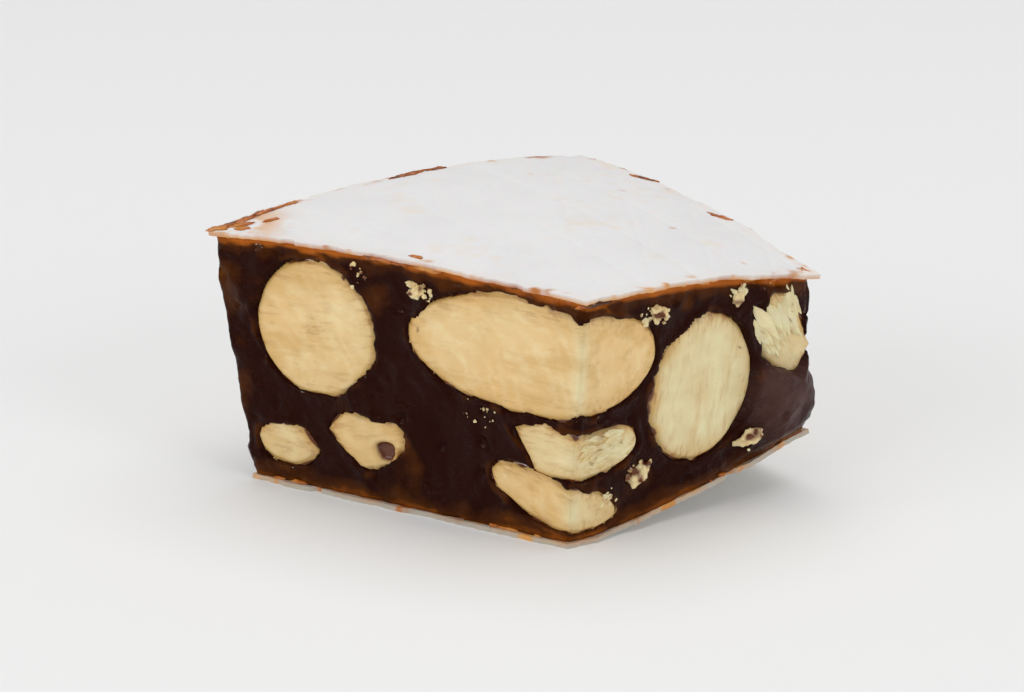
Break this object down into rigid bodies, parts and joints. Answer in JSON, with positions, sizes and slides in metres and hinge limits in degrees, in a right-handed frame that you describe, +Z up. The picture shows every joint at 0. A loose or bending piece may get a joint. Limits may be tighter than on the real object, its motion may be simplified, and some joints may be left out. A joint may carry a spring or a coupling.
{
  "type": "nougat block",
  "caption": "Cut block of dark caramel nougat with large cut almonds on its sides, between two thin white wafers; lies flat on the lower wafer.",
  "frame": {"origin": "middle of the bounding box, on the plane of the lower wafer's flat underside", "axes": "+Z up through the block, +X along the long front side from its left corner to its near corner, +Y to the back"},
  "size_m": [0.0564, 0.0442, 0.0283],
  "materials": {
    "nougat": "glossy",
    "almond": "satin",
    "wafer": "matte"
  },
  "bodies": {
    "root": {"almond_back_chip": "almond", "almond_back_foot": "almond", "almond_back_long": "almond", "almond_back_round": "almond", "almond_back_upright": "almond", "almond_corner": "almond", "almond_crescent": "almond", "almond_far_foot": "almond", "almond_flakes": "almond", "almond_flaky": "almond", "almond_foot_left": "almond", "almond_oval": "almond", "almond_right_foot": "almond", "almond_right_long": "almond", "almond_right_wide": "almond", "almond_round": "almond", "almond_tan_chip": "almond", "nougat": "nougat", "wafer_lower": "wafer", "wafer_upper": "wafer"}
  },
  "joints": []
}
